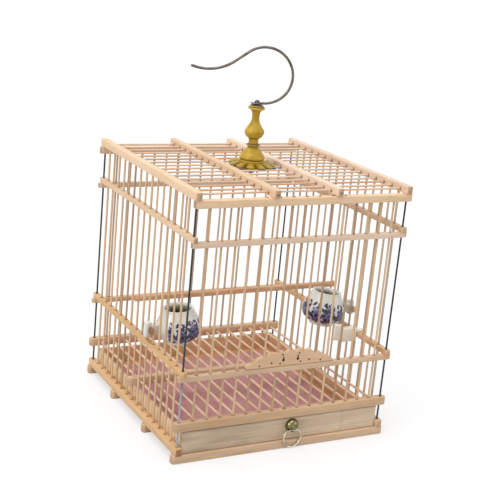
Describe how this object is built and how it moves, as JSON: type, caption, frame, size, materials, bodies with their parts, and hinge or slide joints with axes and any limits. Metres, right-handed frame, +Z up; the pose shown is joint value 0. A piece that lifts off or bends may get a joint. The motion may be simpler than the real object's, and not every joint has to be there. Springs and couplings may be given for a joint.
{
  "type": "bird cage",
  "caption": "Square bamboo bird cage with splint walls, a lift-up front door, a pull-out floor drawer, porcelain cups, a perch and a swivel hook.",
  "frame": {"origin": "centre of the cage's plan, on the underside of the base rails", "axes": "+Z up, +X to the right as seen from the front, -Y to the front with the door and the drawer"},
  "size_m": [0.255, 0.2554, 0.4021],
  "materials": {
    "bamboo_rail": "planed bamboo",
    "bamboo_splint": "drawn bamboo",
    "drawer_bamboo": "planed bamboo",
    "liner": "matt",
    "dark_steel": "dull",
    "bright_steel": "bright",
    "brass": "polished",
    "ochre_lacquer": "satin lacquer",
    "porcelain": "glazed",
    "pale_wood": "plain",
    "peg_wood": "plain"
  },
  "bodies": {
    "cage": {"base_front_rail": "bamboo_rail", "base_mid_front_rail": "bamboo_rail", "base_mid_back_rail": "bamboo_rail", "base_back_rail": "bamboo_rail", "base_left_rail": "bamboo_rail", "base_right_rail": "bamboo_rail", "floor_front_rail": "bamboo_rail", "floor_middle_rail": "bamboo_rail", "floor_back_rail": "bamboo_rail", "lower_hoop_front": "bamboo_rail", "lower_hoop_back": "bamboo_rail", "lower_hoop_left": "bamboo_rail", "lower_hoop_right": "bamboo_rail", "upper_hoop_front": "bamboo_rail", "upper_hoop_back": "bamboo_rail", "upper_hoop_left": "bamboo_rail", "upper_hoop_right": "bamboo_rail", "top_front_rail": "bamboo_rail", "top_back_rail": "bamboo_rail", "top_left_rail": "bamboo_rail", "top_right_rail": "bamboo_rail", "top_inner_left_rail": "bamboo_rail", "top_inner_right_rail": "bamboo_rail", "back_splints": "bamboo_splint", "left_splints": "bamboo_splint", "right_splints": "bamboo_splint", "front_splints": "bamboo_splint", "front_short_splints": "bamboo_splint", "floor_splints": "bamboo_splint", "top_splints": "bamboo_splint", "corner_wires": "dark_steel", "clamp_plate": "dark_steel", "clamp_nut": "dark_steel", "centre_bolt": "dark_steel", "hook_washer": "bright_steel", "finial_post": "ochre_lacquer", "petal_skirt": "ochre_lacquer", "greens_clip": "pale_wood"},
    "drawer": {"drawer_front": "drawer_bamboo", "drawer_left_side": "drawer_bamboo", "drawer_right_side": "drawer_bamboo", "drawer_back": "drawer_bamboo", "drawer_bottom": "drawer_bamboo", "drawer_liner": "liner", "pull_knob": "brass", "pull_nut": "brass"},
    "ring": {"pull_ring": "brass"},
    "door": {"door_board": "bamboo_rail", "door_splints": "bamboo_splint"},
    "swivel_hook": {"hook": "bright_steel"},
    "perch_bar": {"perch": "bamboo_rail"},
    "left_jar": {"left_cup": "porcelain", "left_cup_peg": "peg_wood"},
    "right_jar": {"right_cup": "porcelain", "right_cup_peg": "peg_wood"}
  },
  "joints": [
    {"name": "drawer_slide", "type": "slide", "parent": "cage", "child": "drawer", "axis": [0, -1, 0], "range_m": [0, 0.2]},
    {"name": "ring_swing", "type": "hinge", "parent": "drawer", "child": "ring", "pos_m": [0.0098, -0.126, 0.0205], "axis": [-1, 0, 0], "range_deg": [0, 150]},
    {"name": "door_lift", "type": "slide", "parent": "cage", "child": "door", "axis": [0, 0, 1], "range_m": [0, 0.1]},
    {"name": "hook_swivel", "type": "hinge", "parent": "cage", "child": "swivel_hook", "pos_m": [0, 0, 0.3415], "axis": [0, 0, 1], "continuous": true},
    {"name": "perch_slide", "type": "slide", "parent": "cage", "child": "perch_bar", "axis": [0, 0, 1], "range_m": [-0.03, 0.09]},
    {"name": "left_cup_slide", "type": "slide", "parent": "cage", "child": "left_jar", "axis": [0, 0, 1], "range_m": [0, 0.06]},
    {"name": "right_cup_slide", "type": "slide", "parent": "cage", "child": "right_jar", "axis": [0, 0, 1], "range_m": [0, 0.06]}
  ]
}
